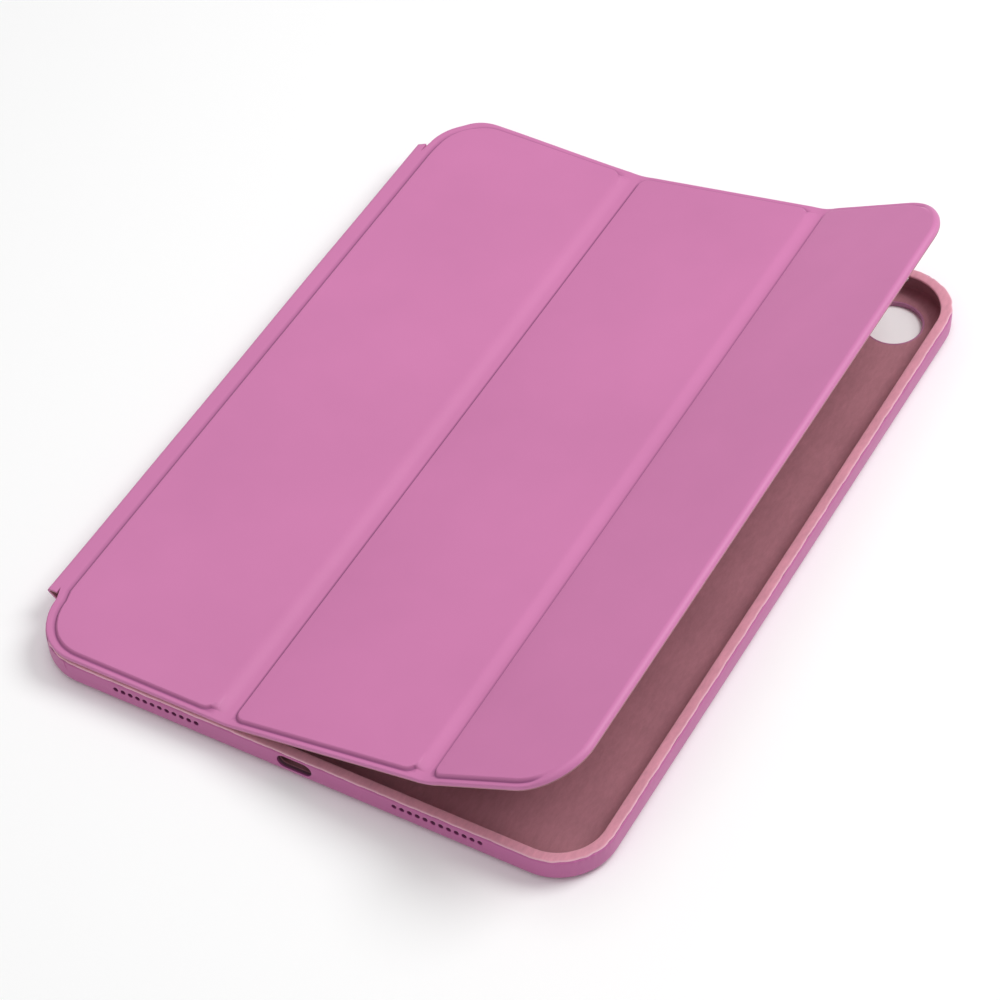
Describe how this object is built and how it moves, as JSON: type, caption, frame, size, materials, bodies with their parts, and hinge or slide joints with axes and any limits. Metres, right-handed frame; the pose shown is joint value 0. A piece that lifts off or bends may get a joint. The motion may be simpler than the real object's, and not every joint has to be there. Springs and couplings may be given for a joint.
{
  "type": "tablet case",
  "caption": "Folio tablet case: a leather-clad snap-in tray with a soft spine and a three-panel folding cover that lifts, folds flat behind and rolls up.",
  "frame": {"origin": "centre of the tray's flat back, the face that rests on a table", "axes": "+X from the spine to the cover's free edge, +Y away from the charging port, +Z out of the tray"},
  "size_m": [0.1864, 0.2528, 0.0443],
  "materials": {
    "leather": "satin fine-grained orchid-pink synthetic leather",
    "tray_skin": "satin fine-grained orchid-pink synthetic leather on the tray",
    "lining": "brushed dusty-rose microfibre",
    "shell": "matte moulded polycarbonate",
    "button": "satin moulded plastic",
    "board": "matte grey-brown stiffener board",
    "steel": "thin zinc-plated steel",
    "magnet": "nickel-plated magnets"
  },
  "bodies": {
    "tray": {"tray_leather": "tray_skin", "tray_shell": "shell", "floor_lining": "lining", "wall_lining": "lining", "rim_band": "lining", "camera_ring": "shell"},
    "volume_up": {"volume_up_button": "button"},
    "volume_down": {"volume_down_button": "button"},
    "spine": {"spine_leather": "leather", "spine_lining": "lining"},
    "panel_1": {"panel_1_leather": "leather", "panel_1_board": "board", "panel_1_lining": "lining", "stand_plates": "steel"},
    "panel_2": {"panel_2_leather": "leather", "panel_2_board": "board", "panel_2_lining": "lining"},
    "panel_3": {"panel_3_leather": "leather", "panel_3_board": "board", "panel_3_lining": "lining", "wake_magnets": "magnet", "stand_magnets": "magnet"}
  },
  "joints": [
    {"name": "spine_hinge", "type": "hinge", "parent": "tray", "child": "spine", "pos_m": [-0.09335, 0, 0.0012], "axis": [0, -1, 0], "range_deg": [0, 180]},
    {"name": "cover_hinge", "type": "hinge", "parent": "spine", "child": "panel_1", "pos_m": [-0.0943, 0, 0.0095], "axis": [0, -1, 0], "range_deg": [0, 180]},
    {"name": "fold_1", "type": "hinge", "parent": "panel_1", "child": "panel_2", "pos_m": [-0.022, 0, 0.0103], "axis": [0, 1, 0], "range_deg": [-120, 10.6]},
    {"name": "fold_2", "type": "hinge", "parent": "panel_2", "child": "panel_3", "pos_m": [0.04238, 0, 0.02235], "axis": [0, 1, 0], "range_deg": [-96, 16]},
    {"name": "volume_up_press", "type": "slide", "parent": "tray", "child": "volume_up", "axis": [0, -1, 0], "range_m": [0, 0.0003], "stiffness_N_per_m": 400},
    {"name": "volume_down_press", "type": "slide", "parent": "tray", "child": "volume_down", "axis": [0, -1, 0], "range_m": [0, 0.0003], "stiffness_N_per_m": 400}
  ]
}
